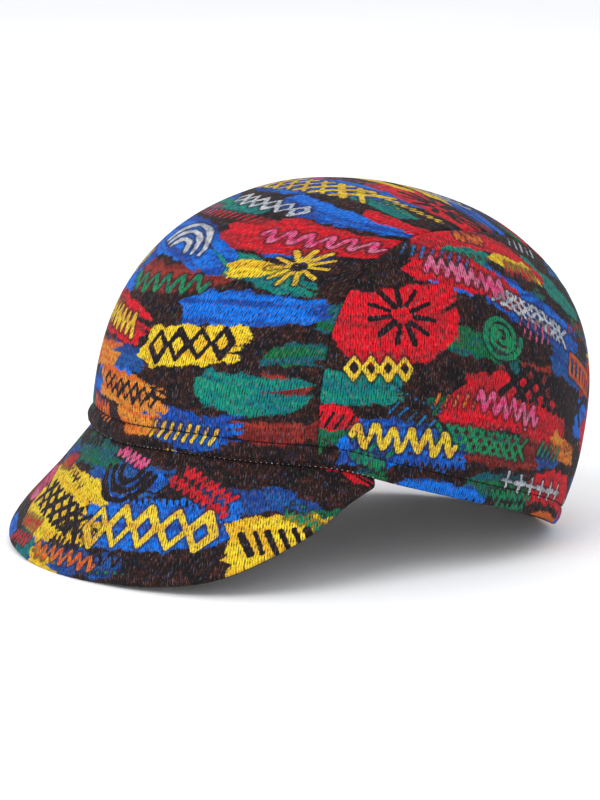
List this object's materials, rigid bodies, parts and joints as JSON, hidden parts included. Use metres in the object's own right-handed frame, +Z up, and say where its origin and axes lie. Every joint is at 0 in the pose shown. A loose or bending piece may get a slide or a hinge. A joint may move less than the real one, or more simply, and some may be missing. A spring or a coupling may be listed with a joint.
{
  "type": "cycling cap",
  "caption": "Soft cycling cap: three knit panels, a stitched hem round the open head hollow and a short turned-down peak.",
  "frame": {"origin": "on the table the cap rests on, under the middle of its bounding box", "axes": "+Z up, -Y out of the peak, +Y towards the back of the head, +X towards the wearer's left; X = 0 is the mirror plane"},
  "size_m": [0.1682, 0.2344, 0.1379],
  "materials": {
    "centre_knit": "matt printed knit, near black with coloured brush marks",
    "side_knit": "matt printed knit, red and near black with coloured brush marks",
    "hem_knit": "matt printed knit, turned and stitched",
    "peak_knit": "matt printed knit over a stiff board"
  },
  "bodies": {
    "root": {"centre_panel": "centre_knit", "left_side_panel": "side_knit", "right_side_panel": "side_knit", "turned_hem": "hem_knit", "peak": "peak_knit"}
  },
  "joints": []
}
